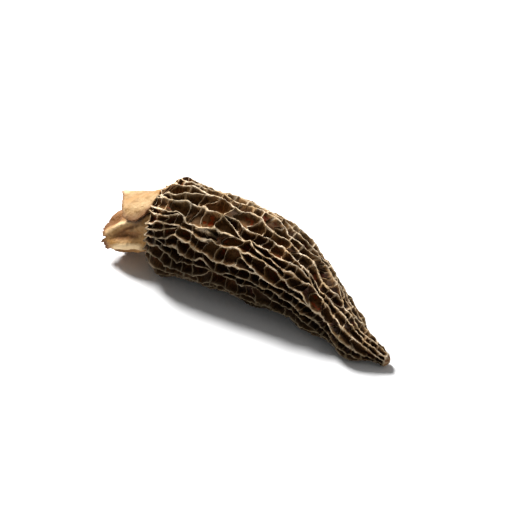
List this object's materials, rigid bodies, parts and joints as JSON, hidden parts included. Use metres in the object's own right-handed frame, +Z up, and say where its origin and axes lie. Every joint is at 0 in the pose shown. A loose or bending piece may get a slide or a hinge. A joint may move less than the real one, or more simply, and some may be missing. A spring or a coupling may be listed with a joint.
{
  "type": "dried morel mushroom",
  "caption": "Dried black morel lying on its side: a long hollow cap under a raised net of ridges and pits, on a pale rolled hollow stem.",
  "frame": {"origin": "on the surface that the mushroom lies on, under the middle of its box", "axes": "+X from the cut stem to the cap's tip, +Z up"},
  "size_m": [0.0664, 0.0206, 0.0182],
  "materials": {
    "cap": "dry, matt, paler on the crests of its ridges",
    "stem": "dry, matt, finely wrinkled"
  },
  "bodies": {
    "root": {"cap": "cap", "stem": "stem"}
  },
  "joints": []
}
